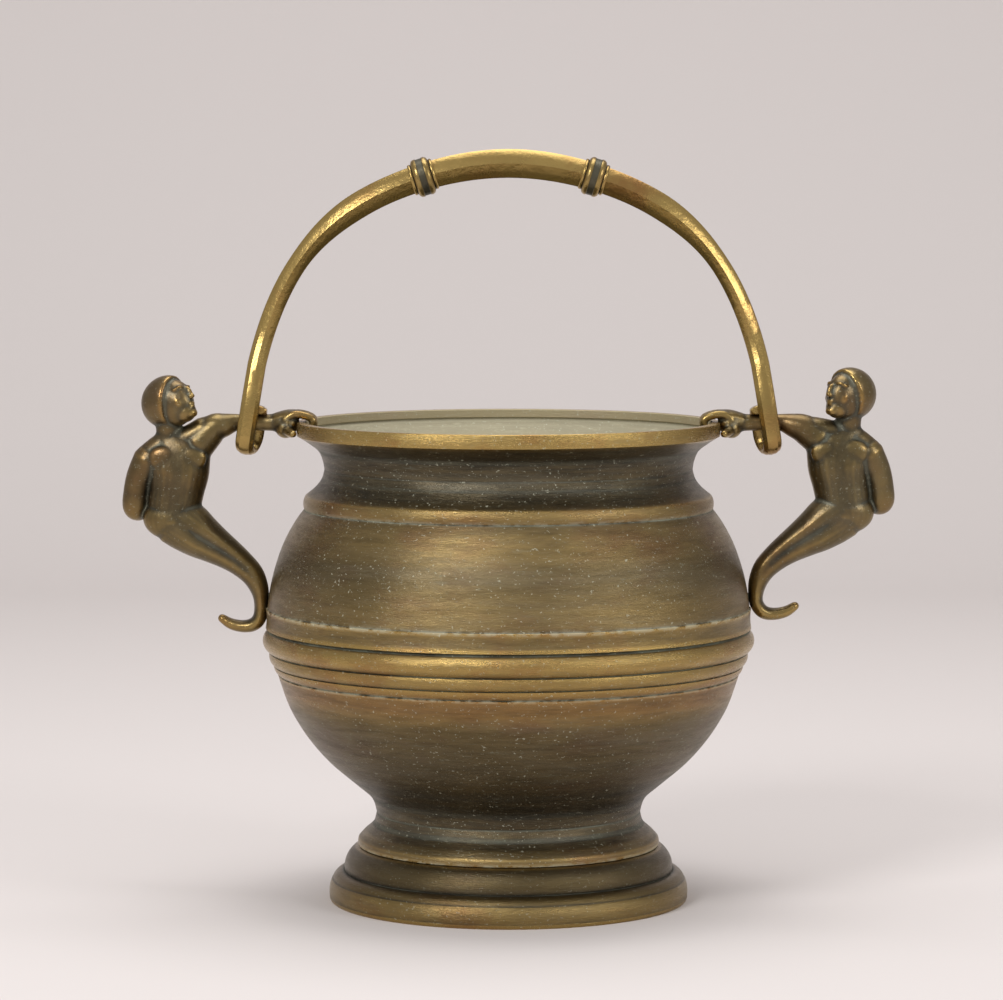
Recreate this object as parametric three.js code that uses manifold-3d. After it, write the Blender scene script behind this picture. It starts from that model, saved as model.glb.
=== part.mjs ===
// Footed bronze pot with a swinging bail, carried by two cast figures whose bodies end in tails.
// Millimetres, +Z up. The origin is the centre of the ring that the foot stands on, and the bail
// swings about an axis along X. The figures reach from the rim to the belly at -X and +X.
import * as THREE from 'three';
import { mergeVertices } from 'three/addons/utils/BufferGeometryUtils.js';
import Module from 'manifold-3d';

const wasm = await Module();
wasm.setup();

// Fits
const seatGap = 0.3;            // between two pieces that are soldered or riveted together
const rivetGap = 0.3;           // round a rivet's shank
const eyeGap = 1.0;             // between a bail eye and the arm it swings on, front and back
const eyeTopGap = 0.8;          // between the arm and the tip that closes the eye over it
const eyeTipGap = 0.6;          // between that tip and the bar it closes against

// Foot ring
const footRadius = 90;
const footRoundHeight = 15;     // the round that stands on the ground
const ovoloRadius = 82.6;
const footHeight = 28;
const footBore = 70;
const restingWidth = 9;         // flat ring under the foot

// Body of the pot, from the stem up
const wall = 3.2;
const floorThickness = 6;
const floorRise = 5.5;          // the middle of the floor above the waist
const spigotDepth = 6;
const spigotWall = 4.5;
const stemLipRadius = 75.6;
const stemLipHeight = 3.3;
const waistRadius = 66.2;
const waistRise = 13.2;         // from the stem's lip to the waist
const bowlRise = 69.5;          // from the waist to the bands
const bowlTopRadius = 115.5;
const lowBandHeight = 5.2;
const lowBandRadius = 117.9;
const beadHeight = 6.4;
const beadRadius = 120.2;
const torusHeight = 11.2;
const torusBulge = 2.9;
const bandRadius = 121;
const bandHeight = 10.7;
const shoulderRise = 49.5;      // from the bands to the collar
const shoulderRadius = 102.1;
const collarHeight = 6.5;
const collarRadius = 102.7;
const neckRadius = 92;
const neckDrop = 13.3;          // from the collar to the neck's narrowest level
const neckRise = 16.5;          // from there to the rim
const rimRadius = 106;
const rimHeight = 7.4;
const rimWidth = 4.6;

// Bail
const armRadius = 4.15;         // the arm's round stretch that the eye swings on
const eyeReach = 24;            // from the rim to the middle of the eye
const eyeDrop = 7.5;            // free height in the eye below the arm
const bailRise = 129;           // from the axis to the middle of the crown
const bailShoulder = 0.026;     // how much the arch stands out between its legs and its crown
const legSplay = 1.4;
const legThickness = 9.4;       // seen from the front
const hipThickness = 13;
const crownThickness = 14.3;
const legDepth = 7;             // front to back
const legBend = 46;             // below this height over the axis the legs bend forward to the eyes
const crownDepth = 11.5;
const barDepth = 6;
const strapWidth = 8.8;
const strapDepth = 4.4;
const strapSkew = 4;            // the strap behind the arm lies this much nearer the pot
const knopOffset = 42.8;        // from the middle of the bail to each knop
const knopRadius = 9.7;
const knopWidth = 8.8;
const knopCollarRadius = 8.1;
const knopCollarWidth = 1.9;

// Figures
const armDrop = 0.7;            // the arm's axis below the top of the rim
const fingerRadius = 2.3;
const rivetRadius = 2;
const rivetHeadRadius = 4.6;
const rivetHeadHeight = 2.4;
const rivetDepth = 3.6;         // how far the rivet goes into the tail
const rivetRise = 5;            // above the bands
const leftPose = { side: -1, lift: -1.5, headTilt: 29, headTurn: 50, hookLift: -1 };
const rightPose = { side: 1, lift: 1.5, headTilt: 17, headTurn: 42, hookLift: 2.2 };

// Facets
const roundSteps = 36;
const limbSides = 12;

// Levels that follow from the sizes above
const stemLipTop = footHeight + stemLipHeight;
const waistLevel = stemLipTop + waistRise;
const bowlTop = waistLevel + bowlRise;
const beadBottom = bowlTop + lowBandHeight;
const torusBottom = beadBottom + beadHeight;
const bandBottom = torusBottom + torusHeight;
const bandTop = bandBottom + bandHeight;
const collarBottom = bandTop + shoulderRise;
const collarTop = collarBottom + collarHeight;
const neckLevel = collarTop + neckDrop;
const rimBottom = neckLevel + neckRise;
const rimTop = rimBottom + rimHeight;
const axisHeight = rimTop - armDrop;
const eyeX = rimRadius + eyeReach;

const materials = {
  pot: new THREE.MeshStandardMaterial({ color: 0x5b4c2c, roughness: 0.5, metalness: 0.85 }),
  foot: new THREE.MeshStandardMaterial({ color: 0x63522f, roughness: 0.48, metalness: 0.85 }),
  figure: new THREE.MeshStandardMaterial({ color: 0x6b5a34, roughness: 0.42, metalness: 0.85 }),
  bail: new THREE.MeshStandardMaterial({ color: 0x92763c, roughness: 0.34, metalness: 0.9 }),
  rivet: new THREE.MeshStandardMaterial({ color: 0x5a4e38, roughness: 0.6, metalness: 0.8 }),
};

const point = (radius, height) => new THREE.Vector2(radius, height);
const radians = THREE.MathUtils.degToRad;
const smooth = THREE.MathUtils.smoothstep;
const lerp = THREE.MathUtils.lerp;

// Outlines

// A circular arc from one outline point to the next that stands out by bulge at its middle.
function arc(from, to, bulge, facets) {
  const chord = to.clone().sub(from);
  const outward = point(chord.y, -chord.x).normalize();
  const half = chord.length() / 2;
  const radius = (half * half + bulge * bulge) / (2 * Math.abs(bulge));
  const middle = from.clone().add(to).multiplyScalar(0.5);
  const centre = middle.addScaledVector(outward, bulge - Math.sign(bulge) * radius);
  const start = Math.atan2(from.y - centre.y, from.x - centre.x);
  let sweep = Math.atan2(to.y - centre.y, to.x - centre.x) - start;
  sweep -= Math.round(sweep / (2 * Math.PI)) * 2 * Math.PI;
  const points = [];
  for (let step = 0; step <= facets; step++) {
    const angle = start + (sweep * step) / facets;
    points.push(point(centre.x + radius * Math.cos(angle), centre.y + radius * Math.sin(angle)));
  }
  return points;
}

// A smooth curve between two outline points through shares of the way along radius and height.
function sweepThrough(from, to, shares, facets) {
  const between = shares.map(([radial, vertical]) => (
    point(lerp(from.x, to.x, radial), lerp(from.y, to.y, vertical))
  ));
  return new THREE.SplineCurve([from, ...between, to]).getPoints(facets);
}

// Moves an open outline sideways, to the right of its direction for a positive distance.
function offset(outline, distance) {
  return outline.map((here, index) => {
    const before = outline[Math.max(index - 1, 0)];
    const after = outline[Math.min(index + 1, outline.length - 1)];
    const along = after.clone().sub(before).normalize();
    return point(here.x + along.y * distance, here.y - along.x * distance);
  });
}

const bowlOutline = (facets) => sweepThrough(
  point(waistRadius, waistLevel), point(bowlTopRadius, bowlTop),
  [[0.057, 0.111], [0.229, 0.22], [0.469, 0.365], [0.657, 0.512], [0.799, 0.658], [0.905, 0.803]],
  facets,
);
const shoulderOutline = (facets) => sweepThrough(
  point(bandRadius - 0.3, bandTop), point(shoulderRadius, collarBottom),
  [[0.07, 0.19], [0.2, 0.4], [0.44, 0.655], [0.74, 0.865]],
  facets,
);
const lowerNeckOutline = (facets) => sweepThrough(
  point(collarRadius - 0.9, collarTop), point(neckRadius, neckLevel),
  [[0.347, 0.2], [0.612, 0.385], [0.87, 0.66]],
  facets,
);
const upperNeckOutline = (facets) => sweepThrough(
  point(neckRadius, neckLevel), point(rimRadius - 1.2, rimBottom),
  [[0.06, 0.26], [0.23, 0.565], [0.6, 0.8]],
  facets,
);

// Solids

// Turns a three.js geometry into a solid that can be joined and cut.
function toSolid(geometry) {
  const bare = geometry.clone();
  bare.deleteAttribute('normal');
  bare.deleteAttribute('uv');
  const merged = mergeVertices(bare, 1e-4);
  const corners = merged.attributes.position.array;
  const faces = [];
  let volume = 0;
  const [a, b, c] = [new THREE.Vector3(), new THREE.Vector3(), new THREE.Vector3()];
  for (let face = 0; face < merged.index.count; face += 3) {
    const [i, j, k] = merged.index.array.slice(face, face + 3);
    if (i === j || j === k || k === i) continue;
    faces.push([i, j, k]);
    volume += a.fromArray(corners, 3 * i).dot(
      b.fromArray(corners, 3 * j).cross(c.fromArray(corners, 3 * k)),
    );
  }
  const ordered = volume > 0 ? faces : faces.map(([i, j, k]) => [i, k, j]);
  return new wasm.Manifold(new wasm.Mesh({
    numProp: 3,
    vertProperties: new Float32Array(corners),
    triVerts: new Uint32Array(ordered.flat()),
  }));
}

function toGeometry(solid) {
  const mesh = solid.getMesh();
  const geometry = new THREE.BufferGeometry();
  geometry.setAttribute('position', new THREE.BufferAttribute(mesh.vertProperties, 3));
  geometry.setIndex(new THREE.BufferAttribute(mesh.triVerts, 1));
  geometry.computeVertexNormals();
  return geometry;
}

const join = (solids) => solids.reduce((whole, solid) => whole.add(solid));

// A solid turned about the Z axis from an outline that ends on the axis or meets its own start.
function turned(outline, steps = roundSteps) {
  return toSolid(new THREE.LatheGeometry(outline, steps).rotateX(Math.PI / 2));
}

// Skins a row of rings, each with the same number of points, and closes both ends.
function skinned(rings) {
  const sides = rings[0].length;
  const last = (rings.length - 1) * sides;
  const index = [];
  for (let ring = 0; ring < last; ring += sides) {
    for (let side = 0; side < sides; side++) {
      const next = (side + 1) % sides;
      index.push(ring + side, ring + next, ring + sides + side);
      index.push(ring + next, ring + sides + next, ring + sides + side);
    }
  }
  for (let side = 1; side + 1 < sides; side++) {
    index.push(0, side + 1, side);
    index.push(last, last + side, last + side + 1);
  }
  const geometry = new THREE.BufferGeometry();
  const corners = rings.flat().flatMap((corner) => corner.toArray());
  geometry.setAttribute('position', new THREE.Float32BufferAttribute(corners, 3));
  geometry.setIndex(index);
  return toSolid(geometry);
}

// An oval section. A cleft draws in its front and back, as between two legs that lie together.
function ovalRing(centre, across, depthways, halfAcross, halfDepth, cleft, sides) {
  const ring = [];
  for (let side = 0; side < sides; side++) {
    const angle = (2 * Math.PI * side) / sides;
    const groove = 1 - cleft * Math.abs(Math.sin(angle)) ** 14;
    ring.push(centre.clone()
      .addScaledVector(across, halfAcross * Math.cos(angle))
      .addScaledVector(depthways, halfDepth * Math.sin(angle) * groove));
  }
  return ring;
}

// A limb: oval sections along a curve through its stations, with rounded ends. Each station is
// [place, half width seen from the front, half depth, cleft].
function limb(stations, steps, sides = limbSides) {
  const spine = new THREE.CatmullRomCurve3(stations.map(([place]) => place));
  const sizes = new THREE.CatmullRomCurve3(
    stations.map(([, across, depth, cleft = 0]) => new THREE.Vector3(across, depth, cleft)),
  );
  const endSteps = 2;
  const rings = [];
  const addRing = (share, shift, scale) => {
    const along = spine.getTangent(share);
    const depthways = new THREE.Vector3(0, 1, 0).addScaledVector(along, -along.y).normalize();
    const across = depthways.clone().cross(along);
    const size = sizes.getPoint(share);
    const centre = spine.getPoint(share).addScaledVector(along, shift * Math.min(size.x, size.y));
    rings.push(ovalRing(
      centre, across, depthways, size.x * scale, size.y * scale, size.z, sides,
    ));
  };
  for (let step = 1; step < endSteps; step++) {
    const angle = (Math.PI / 2) * (step / endSteps);
    addRing(0, -Math.cos(angle), Math.sin(angle));
  }
  for (let step = 0; step <= steps; step++) addRing(step / steps, 0, 1);
  for (let step = endSteps - 1; step > 0; step--) {
    const angle = (Math.PI / 2) * (step / endSteps);
    addRing(1, Math.cos(angle), Math.sin(angle));
  }
  return skinned(rings);
}

// An ellipsoid placed by a matrix.
function ellipsoid(halfX, halfY, halfZ, matrix, facets = 12) {
  const geometry = new THREE.SphereGeometry(1, facets, Math.round(facets * 0.7));
  return toSolid(geometry.scale(halfX, halfY, halfZ).applyMatrix4(matrix));
}

const moveTo = (x, y, z) => new THREE.Matrix4().makeTranslation(x, y, z);

// Pot

function footRing() {
  const inside = footRadius - 0.7 - restingWidth;
  const outline = [
    point(inside, 0),
    ...arc(point(footRadius - 0.7, 0), point(ovoloRadius - 0.1, footRoundHeight), 3.3, 5),
    ...arc(point(ovoloRadius, footRoundHeight + 0.3), point(stemLipRadius, footHeight - seatGap), 2.2, 4),
    point(footBore, footHeight - seatGap),
    point(footBore, footHeight - spigotDepth - wall),
    point(inside, footRoundHeight / 2),
    point(inside, 0),
  ];
  return turned(outline);
}

// The inner face, a wall inside the smooth body, from the rim down to the middle of the floor.
function innerOutline() {
  const floorLevel = waistLevel + floorRise;
  const skirt = offset(bowlOutline(6), -wall).slice(2);
  const belly = offset(shoulderOutline(3), -wall).slice(0, 3);
  const neck = offset([...lowerNeckOutline(2), ...upperNeckOutline(4).slice(1)], -wall);
  const rising = [
    point(0, floorLevel),
    point(waistRadius * 0.62, floorLevel + 1.4),
    point(waistRadius * 0.92, floorLevel + 5.4),
    ...skirt,
    point(bandRadius - wall, torusBottom),
    ...belly,
    ...neck.slice(0, -1),
    point(rimRadius - rimWidth, rimBottom + rimHeight * 0.45),
    point(rimRadius - rimWidth, rimTop),
  ];
  return rising.reverse();
}

function potBody() {
  const underside = waistLevel + floorRise - floorThickness;
  const stemBore = waistRadius - wall - 1;
  const stemCorner = 4;
  const lineDepth = 0.5;
  const outer = [
    point(footBore - seatGap, footHeight),
    ...arc(point(stemLipRadius, footHeight), point(stemLipRadius, stemLipTop), 0.3, 2),
    ...sweepThrough(
      point(stemLipRadius, stemLipTop), point(waistRadius, waistLevel),
      [[0.3, 0.23], [0.62, 0.42], [0.86, 0.62]], 3,
    ).slice(1),
    ...bowlOutline(8).slice(1),
    point(bowlTopRadius + 0.1 - lineDepth, bowlTop + 0.4),
    ...arc(point(bowlTopRadius + 0.4, bowlTop + 0.8), point(lowBandRadius, beadBottom - 0.3), 0.3, 1),
    ...arc(point(lowBandRadius, beadBottom), point(beadRadius - 0.2, torusBottom - 0.3), 0.7, 2),
    ...arc(point(beadRadius - 0.2, torusBottom), point(bandRadius - 0.2, bandBottom - 0.3), torusBulge, 5),
    point(bandRadius - lineDepth, bandBottom),
    ...arc(point(bandRadius + 0.7, bandBottom + 0.9), point(bandRadius + 0.5, bandTop - 0.4), -0.4, 1),
    ...shoulderOutline(6),
    ...arc(point(collarRadius - 0.3, collarBottom + 0.4), point(collarRadius - 0.9, collarTop), 0.5, 2),
    ...lowerNeckOutline(3).slice(1),
    ...upperNeckOutline(5).slice(1),
    ...arc(point(rimRadius - 0.1, rimBottom + 0.5), point(rimRadius - 0.4, rimTop - 0.3), 0.2, 1),
    point(rimRadius - 0.8, rimTop),
  ];
  const under = [
    point(0, underside),
    point(stemBore - stemCorner, underside),
    point(stemBore, underside - stemCorner),
    point(footBore - seatGap - spigotWall, footHeight + 2),
    point(footBore - seatGap - spigotWall, footHeight - spigotDepth),
    point(footBore - seatGap, footHeight - spigotDepth),
    point(footBore - seatGap, footHeight),
  ];
  const holes = [-1, 1].map((side) => rivetBore(side, rivetRadius + rivetGap));
  return holes.reduce(
    (body, hole) => body.subtract(hole),
    turned([...under, ...outer.slice(1), ...innerOutline()]),
  );
}

// What the pieces fixed to the pot may not enter: its shoulder and its rim, each with the seat gap.
function potKeepOut() {
  const core = neckRadius / 2;
  const skin = offset([
    point(bandRadius + 0.7, torusBottom + torusHeight / 2),
    point(bandRadius + 0.7, bandTop - 0.4),
    ...shoulderOutline(6),
  ], seatGap);
  const shoulder = turned([
    point(core, skin[0].y), ...skin, point(core, skin.at(-1).y), point(core, skin[0].y),
  ]);
  const inner = rimRadius - rimWidth - seatGap;
  const outside = offset([...upperNeckOutline(5), point(rimRadius, rimBottom + 0.6)], seatGap);
  const rim = turned([
    point(inner - rimWidth, neckLevel),
    ...outside,
    point(rimRadius + seatGap, rimTop + seatGap),
    point(inner, rimTop + seatGap),
    point(inner, rimBottom + rimHeight * 0.45),
    ...offset(upperNeckOutline(5), -wall - seatGap).slice(2, -1).reverse(),
    point(inner - rimWidth, neckLevel),
  ]);
  return shoulder.add(rim);
}

// Rivets

// The wall's own place and lean where a rivet goes through it.
function rivetFrame(side) {
  const outline = shoulderOutline(40);
  const level = bandTop + rivetRise;
  const index = outline.findIndex((corner) => corner.y > level);
  const [low, high] = [outline[index - 1], outline[index]];
  const radius = lerp(low.x, high.x, (level - low.y) / (high.y - low.y));
  const lean = Math.atan2(low.x - high.x, high.y - low.y);
  const turn = new THREE.Matrix4().makeRotationZ(side > 0 ? 0 : Math.PI);
  return turn
    .multiply(moveTo(radius, 0, level))
    .multiply(new THREE.Matrix4().makeRotationY(Math.PI / 2 - lean));
}

// A round bore or shank along the rivet's line, from inside the wall into the tail.
function rivetBore(side, radius, depth = rivetDepth + rivetGap) {
  const inside = wall + rivetHeadHeight;
  const geometry = new THREE.CylinderGeometry(radius, radius, inside + depth, 12)
    .rotateX(Math.PI / 2)
    .translate(0, 0, (depth - inside) / 2);
  return toSolid(geometry.applyMatrix4(rivetFrame(side)));
}

// The inside of the pot above its widest level, a seat gap clear of the wall.
function potInterior() {
  const face = innerOutline().filter((corner) => corner.y > torusBottom - 1);
  const clear = offset(face, seatGap);
  return turned([point(0, clear[0].y), ...clear, point(0, clear.at(-1).y)]);
}

// A domed head inside the pot, bedded on the wall, and a shank through the wall into the tail.
function tailRivet(side) {
  const dome = new THREE.LatheGeometry([
    point(0, rivetHeadHeight),
    point(rivetHeadRadius, rivetHeadHeight),
    ...arc(point(rivetHeadRadius, -0.8), point(0, -rivetHeadHeight), 0.5, 3),
  ], 12).rotateX(Math.PI / 2).translate(0, 0, -wall);
  const head = toSolid(dome.applyMatrix4(rivetFrame(side))).intersect(potInterior());
  return head.add(rivetBore(side, rivetRadius, rivetDepth));
}

// Figures

// A head built of a skull, a face, a close cap of hair and plain even features.
function head(centre, tilt, turn) {
  const frame = moveTo(centre.x, centre.y, centre.z)
    .multiply(new THREE.Matrix4().makeRotationZ(-radians(turn)))
    .multiply(new THREE.Matrix4().makeRotationX(-radians(tilt)));
  const part = (halfX, halfY, halfZ, x, y, z, facets) => (
    ellipsoid(halfX, halfY, halfZ, frame.clone().multiply(moveTo(x, y, z)), facets)
  );
  const face = part(8.4, 11, 12.4, 0, -1.4, -1.2, 12);
  const jaw = part(5.8, 5.4, 5.2, 0, -5.6, -8.6, 8);
  const features = [
    part(1.5, 2.4, 3.1, 0, -11.8, -1.4, 6),
    part(2.9, 1.3, 0.9, 0, -11, -6.6, 7),
    part(3.4, 1.6, 1.3, -3.6, -9.9, 2.2, 6),
    part(3.4, 1.6, 1.3, 3.6, -9.9, 2.2, 6),
  ];
  const hairFront = new THREE.BoxGeometry(40, 20, 60).translate(0, -10, 0)
    .applyMatrix4(new THREE.Matrix4().makeRotationX(radians(24)))
    .applyMatrix4(frame.clone().multiply(moveTo(0, -4.4, 0)));
  const hair = part(11.6, 13.4, 13.4, 0, 0.8, 1, 14).subtract(toSolid(hairFront));
  return join([face, jaw, ...features, hair]);
}

// A hand laid over the rim: a palm outside it, four fingers over the top and a thumb below.
function hand() {
  const at = (out, across, up) => new THREE.Vector3(rimRadius + out, across, rimTop + up);
  const palm = limb([
    [at(12, 0, -armDrop), 4.3, 4.3],
    [at(7.5, 0, -armDrop - 0.2), 5, 6.2],
    [at(3.6, 0, -armDrop - 0.6), 5.2, 7.4],
  ], 2, 8);
  const fingers = [-1.5, -0.5, 0.5, 1.5].map((place) => {
    const across = place * fingerRadius * 1.55;
    const curl = 1 - 0.12 * Math.abs(place);
    return limb([
      [at(5, across, 0.6), fingerRadius, fingerRadius],
      [at(1, across, 3.6), fingerRadius, fingerRadius],
      [at(-4.4, across, 3.1), fingerRadius * 0.96, fingerRadius],
      [at(-8.6, across, 0.8), fingerRadius * 0.9, fingerRadius * 0.9],
      [at(-9.6 * curl, across, -4 * curl), fingerRadius * 0.74, fingerRadius * 0.8],
    ], 4, 6);
  });
  const thumb = limb([
    [at(5, -4, -3), 2.9, 2.9],
    [at(3, -9, -5.2), 2.5, 2.6],
    [at(0.6, -14.5, -5.6), 2, 2.1],
  ], 3, 6);
  return join([palm, ...fingers, thumb]);
}

// One figure, built at +X. Its upper body is placed from the rim and its tail from the belly.
function figure(pose) {
  const arm = (out, back, up) => new THREE.Vector3(rimRadius + out, back, axisHeight + up);
  const upper = (out, back, up) => arm(out, back, up + pose.lift);
  const lower = (out, back, up) => (
    new THREE.Vector3(bandRadius + out, back, bandTop + up + pose.lift)
  );
  const hook = (out, back, up) => lower(out, back, up + pose.hookLift);
  const torso = limb([
    [upper(63, 0, -6.5), 9.5, 6.5],
    [upper(60.5, 0, -13.5), 17, 9.6],
    [upper(59, 0, -22.5), 15.6, 11.4],
    [upper(60, 0, -32), 14.2, 10.4],
    [upper(61.3, 0, -41), 13.7, 9.8],
    [upper(61, 0, -48), 12.6, 10],
  ], 8);
  const tail = limb([
    [upper(60.5, 0, -47), 14, 11.4, 0.06],
    [upper(54.2, 0, -51.2), 13, 11.9, 0.14],
    [upper(48.4, 0, -55.4), 11.7, 11.6, 0.17],
    [upper(41.2, 0, -60), 9.7, 10.4, 0.16],
    [upper(34.4, 0, -64.4), 8.1, 9.2, 0.14],
    [lower(13, 0, 23.3), 6.9, 8.2, 0.1],
    [lower(7.3, 0, 17.6), 6, 7.6, 0.06],
    [lower(3.7, 0, 10.6), 4.9, 7],
    [lower(2.4, 0, 3.8), 3.9, 6.6],
    [hook(3.2, 0, -2.6), 3.8, 6.2],
    [hook(6.8, 0, -6.4), 3.6, 5.6],
    [hook(12, 0, -7.4), 3.2, 4.8],
    [hook(18, 0, -6.2), 2.9, 4],
    [hook(22.6, 0, -3.4), 2.4, 3.2],
  ], 19);
  const chest = [-7, 7].map((shift) => (
    ellipsoid(7.8, 2.8, 5.4, moveTo(...upper(59.3 + shift, -8.9, -19.4).toArray()), 8)
  ));
  const neck = limb([
    [upper(63, 0.5, -11), 7.6, 7],
    [upper(63.6, 0, -4.5), 6.6, 6.4],
    [upper(64, -0.4, 3), 6.8, 6.8],
  ], 3, 8);
  const reachingArm = limb([
    [upper(49, 0, -9.5), 8.6, 8.4],
    [arm(41.5, 0, -3.2), 7.5, 7.4],
    [arm(35.5, 0, -1.2), 6, 6],
    [arm(30.6, 0, 0), 4.5, 4.5],
    [arm(27.5, 0, 0), armRadius, armRadius],
    [arm(24, 0, 0), armRadius, armRadius],
    [arm(20, 0, 0), armRadius, armRadius],
    [arm(16, 0, 0), armRadius, armRadius],
    [arm(12, 0, 0), 4.4, 4.6],
  ], 9);
  const restingArm = limb([
    [upper(74.4, 0, -13.5), 8.4, 8.2],
    [upper(78.6, 1, -22), 7, 7.2],
    [upper(80.2, 1.8, -31), 6.7, 6.6],
    [upper(80.6, 3.4, -38.6), 7, 6.6],
    [upper(77, 9, -40.4), 5.6, 5.2],
    [upper(69, 12.4, -38), 5, 4.6],
    [upper(61, 12.6, -35), 4.4, 3.8],
    [upper(56, 12, -33.4), 4.6, 3.2],
  ], 10, 8);
  const headCentre = upper(64.6, -1, 12.4);
  const skull = head(headCentre, pose.headTilt, pose.headTurn);
  const whole = join([
    torso, tail, ...chest, neck, reachingArm, restingArm, skull, hand(),
  ]);
  const seated = whole
    .subtract(potKeepOut())
    .subtract(rivetBore(1, rivetRadius + rivetGap));
  const geometry = toGeometry(seated);
  return pose.side > 0 ? seated : toSolid(geometry.scale(-1, 1, 1));
}

// Bail

// How far back the middle of a leg lies at a height over the axis: in the bail's own plane high
// up, and in front of the arm low down.
function legBack(height) {
  const front = armRadius + eyeGap + barDepth / 2;
  return -front * (1 - smooth(height, eyeDrop, legBend));
}

// Where the arch runs, and how large its section is, at an angle from the axis at +X.
function archStation(angle) {
  const spread = 1 + bailShoulder * Math.sin(2 * angle) ** 4;
  const height = bailRise * Math.sin(angle) * spread;
  const centre = new THREE.Vector3(
    (eyeX - legSplay) * Math.cos(angle) * spread, legBack(height), height,
  );
  const fromLeg = Math.min(angle, Math.PI - angle);
  const hip = smooth(fromLeg, radians(36), radians(56));
  const crown = smooth(fromLeg, radians(56), radians(90));
  const round = 1 - smooth(fromLeg, radians(14), radians(34));
  return {
    centre,
    halfAcross: (legThickness + (hipThickness - legThickness) * hip
      + (crownThickness - hipThickness) * crown) / 2,
    halfDepth: lerp(legDepth, crownDepth, smooth(fromLeg, radians(20), radians(70))) / 2,
    round,
  };
}

// Ten points of a section: a ridge in front and behind and small flats outside and inside,
// drawn towards an oval by round.
function bailRing({ centre, across, depthways, halfAcross, halfDepth, round }) {
  const flat = 0.22;
  const outlineShares = [
    [1, flat], [0.5, 0.6 + flat / 4], [0, 1], [-0.5, 0.6 + flat / 4], [-1, flat],
    [-1, -flat], [-0.5, -0.6 - flat / 4], [0, -1], [0.5, -0.6 - flat / 4], [1, -flat],
  ];
  return outlineShares.map(([ridgeAcross, ridgeDepth], index) => {
    const angle = radians(18 + 36 * index);
    return centre.clone()
      .addScaledVector(across, halfAcross * lerp(ridgeAcross, Math.cos(angle), round))
      .addScaledVector(depthways, halfDepth * lerp(ridgeDepth, Math.sin(angle), round));
  });
}

// The eye at +X, from the foot of the leg down in front of the arm, under it, up behind it and
// forward over it. Down is measured along the leg, and back is +Y.
function eyeStations(legDown, across) {
  const inner = armRadius + eyeGap;
  const front = legBack(0);
  const behind = inner + strapDepth / 2;
  const turnRadius = (behind - front) / 2;
  const turnDown = armRadius + eyeDrop + strapDepth / 2 - turnRadius;
  const overTop = -(armRadius + eyeTopGap + strapDepth / 2);
  const cornerRadius = 4.6;
  const tip = front + barDepth / 2 + eyeTipGap;
  const path = [];
  for (const height of [22, 15, eyeDrop, 0]) path.push([legBack(height), -height]);
  path.push([front, turnDown]);
  for (let step = 1; step <= 7; step++) {
    const angle = Math.PI * (step / 7);
    path.push([
      (front + behind) / 2 - turnRadius * Math.cos(angle),
      turnDown + turnRadius * Math.sin(angle),
    ]);
  }
  path.push([behind, (turnDown + overTop) / 2]);
  for (let step = 0; step <= 3; step++) {
    const angle = (Math.PI / 2) * (step / 3);
    path.push([
      behind - cornerRadius * (1 - Math.cos(angle)),
      overTop + cornerRadius * (1 - Math.sin(angle)),
    ]);
  }
  path.push([(behind - cornerRadius + tip) / 2, overTop]);
  path.push([tip, overTop]);
  const axis = new THREE.Vector3(eyeX, 0, 0);
  return path.map(([back, down], index) => {
    const share = index / (path.length - 1);
    const slim = smooth(share, 0.15, 0.45);
    const centre = axis.clone()
      .addScaledVector(legDown, down)
      .addScaledVector(new THREE.Vector3(0, 1, 0), back)
      .addScaledVector(across, -strapSkew * smooth(share, 0.2, 0.62));
    return {
      centre,
      halfAcross: lerp(legThickness, strapWidth, slim) / 2,
      halfDepth: lerp(barDepth, strapDepth, slim) / 2,
      round: 1,
    };
  });
}

// Gives each station a frame: across lies in the bail's own plane and depthways completes it.
function framed(stations, acrossAt) {
  return stations.map((station, index) => {
    const before = stations[Math.max(index - 1, 0)].centre;
    const after = stations[Math.min(index + 1, stations.length - 1)].centre;
    const along = after.clone().sub(before).normalize();
    const across = acrossAt(station, along);
    return { ...station, across, depthways: along.clone().cross(across).normalize() };
  });
}

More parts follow.
